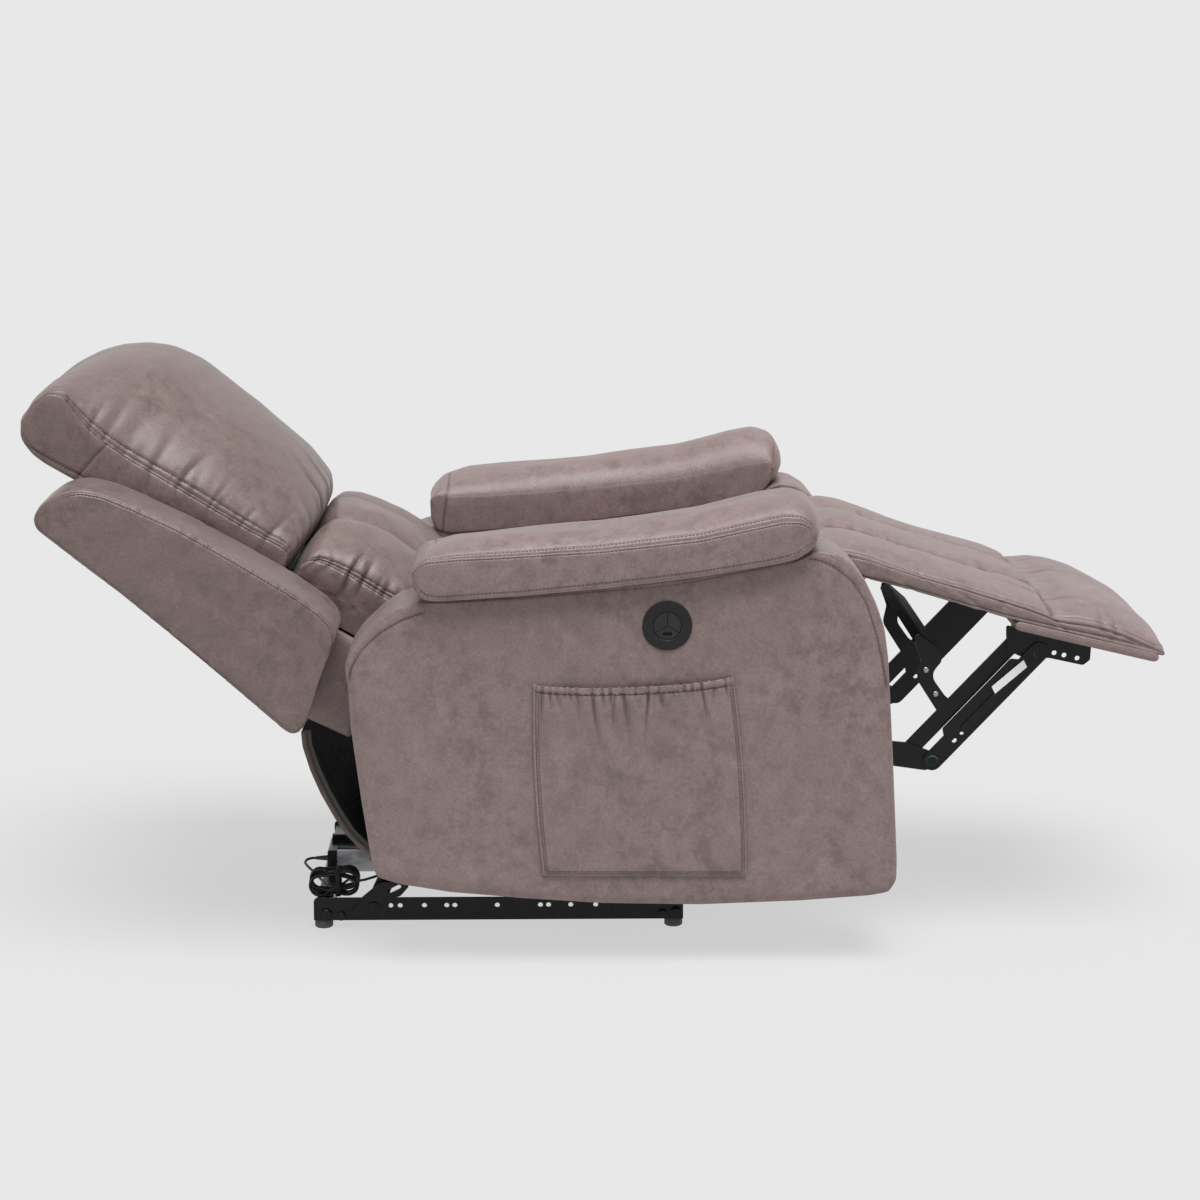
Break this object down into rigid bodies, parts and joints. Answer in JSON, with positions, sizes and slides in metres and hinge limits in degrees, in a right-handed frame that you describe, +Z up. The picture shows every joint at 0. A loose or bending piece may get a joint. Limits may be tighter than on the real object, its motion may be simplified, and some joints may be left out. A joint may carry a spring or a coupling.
{
  "type": "power recliner armchair",
  "caption": "Upholstered power recliner armchair, back reclined and legrest out, on a low steel swing-link base with a track actuator, side pocket and round arm control.",
  "frame": {"origin": "middle of the footprint on the floor, with the back reclined and the legrest out", "axes": "+X forwards, +Y to the sitter's left, +Z up"},
  "size_m": [1.647, 0.89, 0.8508],
  "materials": {
    "upholstery": "soft suede-like nap with darker mottling",
    "black_steel": "satin black",
    "black_rubber": "matte",
    "black_plastic": "fine grain",
    "grey_plastic": "satin",
    "timber": "sawn",
    "spring_steel": "drawn wire",
    "track_alloy": "extruded",
    "lining": "thin woven lining"
  },
  "bodies": {
    "base": {"base_rail_right": "black_steel", "base_rail_left": "black_steel", "rear_cross_tube": "black_steel", "front_cross_tube": "black_steel", "foot_rear_right": "black_rubber", "foot_front_right": "black_rubber", "foot_rear_left": "black_rubber", "foot_front_left": "black_rubber", "rear_gusset_right": "black_steel", "rear_gusset_left": "black_steel", "actuator_track": "track_alloy", "actuator_motor": "black_plastic", "lead_strain_relief": "black_rubber", "control_lead_tail": "black_rubber", "control_lead_hank": "black_rubber", "control_lead_return": "black_rubber"},
    "front_links": {"front_swing_link_right": "black_steel", "front_swing_link_left": "black_steel"},
    "rear_links": {"rear_swing_link_right": "black_steel", "rear_swing_link_left": "black_steel"},
    "carriage": {"actuator_carriage": "black_plastic"},
    "seat": {"seat_plate_right": "black_steel", "seat_plate_left": "black_steel", "seat_rear_rail": "timber", "seat_front_rail": "timber", "rear_stretcher": "timber", "drive_tube": "black_steel", "seat_spring_1": "spring_steel", "seat_spring_2": "spring_steel", "seat_spring_3": "spring_steel", "seat_cushion": "upholstery", "arm_panel_right": "upholstery", "arm_panel_left": "upholstery", "arm_pad_right": "upholstery", "arm_pad_left": "upholstery", "side_pocket": "upholstery", "control_housing": "black_plastic", "usb_socket": "grey_plastic", "rear_curtain": "lining"},
    "recline_button": {"button_recline": "grey_plastic"},
    "return_button": {"button_return": "grey_plastic"},
    "back": {"back_frame": "upholstery", "back_panel": "upholstery", "wing_right": "upholstery", "wing_left": "upholstery", "head_pillow": "upholstery", "lumbar_pad": "upholstery", "back_bracket_right": "black_steel", "back_bracket_left": "black_steel"},
    "legrest": {"legrest_pad": "upholstery", "footrest_board": "upholstery", "ottoman_bracket_right": "black_steel", "ottoman_bracket_left": "black_steel"},
    "lower_links": {"lower_link_right": "black_steel", "lower_link_left": "black_steel"},
    "inner_links": {"inner_link_right": "black_steel", "inner_link_left": "black_steel", "torque_tube": "black_steel"},
    "outer_links": {"outer_link_right": "black_steel", "outer_link_left": "black_steel"}
  },
  "joints": [
    {"name": "seat_swing", "type": "hinge", "parent": "base", "child": "front_links", "pos_m": [0.0189, 0, 0.0343], "axis": [0, 1, 0], "range_deg": [-50, 0]},
    {"name": "seat_on_links", "type": "hinge", "parent": "front_links", "child": "seat", "pos_m": [0.08229, 0, 0.17025], "axis": [0, 1, 0], "range_deg": [0, 50]},
    {"name": "rear_link", "type": "hinge", "parent": "base", "child": "rear_links", "pos_m": [-0.3431, 0, 0.0343], "axis": [0, 1, 0], "range_deg": [-50, 0]},
    {"name": "back_recline", "type": "hinge", "parent": "seat", "child": "back", "pos_m": [-0.2211, 0, 0.33], "axis": [0, 1, 0], "range_deg": [0, 28]},
    {"name": "carriage_travel", "type": "slide", "parent": "base", "child": "carriage", "axis": [1, 0, 0], "range_m": [-0.128, 0]},
    {"name": "legrest_fold", "type": "hinge", "parent": "seat", "child": "legrest", "pos_m": [0.4379, 0, 0.4435], "axis": [0, 1, 0], "range_deg": [0, 80]},
    {"name": "lower_link_turn", "type": "hinge", "parent": "seat", "child": "lower_links", "pos_m": [0.2839, 0, 0.28], "axis": [0, 1, 0], "range_deg": [0, 80]},
    {"name": "inner_link_turn", "type": "hinge", "parent": "lower_links", "child": "inner_links", "pos_m": [0.4469, 0, 0.2655], "axis": [0, 1, 0], "range_deg": [-80, 0]},
    {"name": "outer_link_turn", "type": "hinge", "parent": "lower_links", "child": "outer_links", "pos_m": [0.4819, 0, 0.2525], "axis": [0, 1, 0], "range_deg": [-80, 0]},
    {"name": "recline_key", "type": "slide", "parent": "seat", "child": "recline_button", "axis": [0, 1, 0], "range_m": [0, 0.0012], "stiffness_N_per_m": 1200},
    {"name": "return_key", "type": "slide", "parent": "seat", "child": "return_button", "axis": [0, 1, 0], "range_m": [0, 0.0012], "stiffness_N_per_m": 1200}
  ],
  "couplings": [
    {"joint": "seat_on_links", "follows": "seat_swing", "ratio": -1},
    {"joint": "rear_link", "follows": "seat_swing", "ratio": 1},
    {"joint": "back_recline", "follows": "seat_swing", "ratio": -0.56},
    {"joint": "carriage_travel", "follows": "seat_swing", "m_per_rad": 0.1453},
    {"joint": "lower_link_turn", "follows": "legrest_fold", "ratio": 1},
    {"joint": "inner_link_turn", "follows": "legrest_fold", "ratio": -1},
    {"joint": "outer_link_turn", "follows": "legrest_fold", "ratio": -1}
  ]
}
